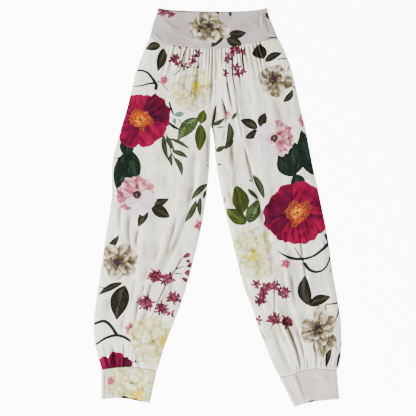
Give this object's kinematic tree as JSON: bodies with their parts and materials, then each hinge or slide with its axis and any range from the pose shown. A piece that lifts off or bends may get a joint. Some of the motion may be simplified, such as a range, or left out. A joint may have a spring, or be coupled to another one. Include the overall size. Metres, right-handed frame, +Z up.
{
  "type": "joggers",
  "caption": "High-waisted joggers in soft floral jersey, laid flat, with a wide waistband, gathered waist, slack tapered legs and deep plain cuffs.",
  "frame": {"origin": "middle of the laid-out garment's outline, on the surface that it rests on", "axes": "+X towards the wearer's left leg, +Y towards the waist, +Z up, away from the surface"},
  "size_m": [0.607, 0.9792, 0.0102],
  "materials": {
    "printed_jersey": "ivory viscose jersey with a large floral print, soft and matt with a slight sheen",
    "waistband_jersey": "double layer of the same printed jersey, pale mauve grey, matt",
    "cuff_jersey": "double layer of the same printed jersey, matt"
  },
  "bodies": {
    "root": {"waistband_front": "waistband_jersey", "waistband_back": "waistband_jersey", "front_leg_left": "printed_jersey", "front_leg_right": "printed_jersey", "back_leg_left": "printed_jersey", "back_leg_right": "printed_jersey", "cuff_left_front": "cuff_jersey", "cuff_left_back": "cuff_jersey", "cuff_right_front": "cuff_jersey", "cuff_right_back": "cuff_jersey"}
  },
  "joints": []
}
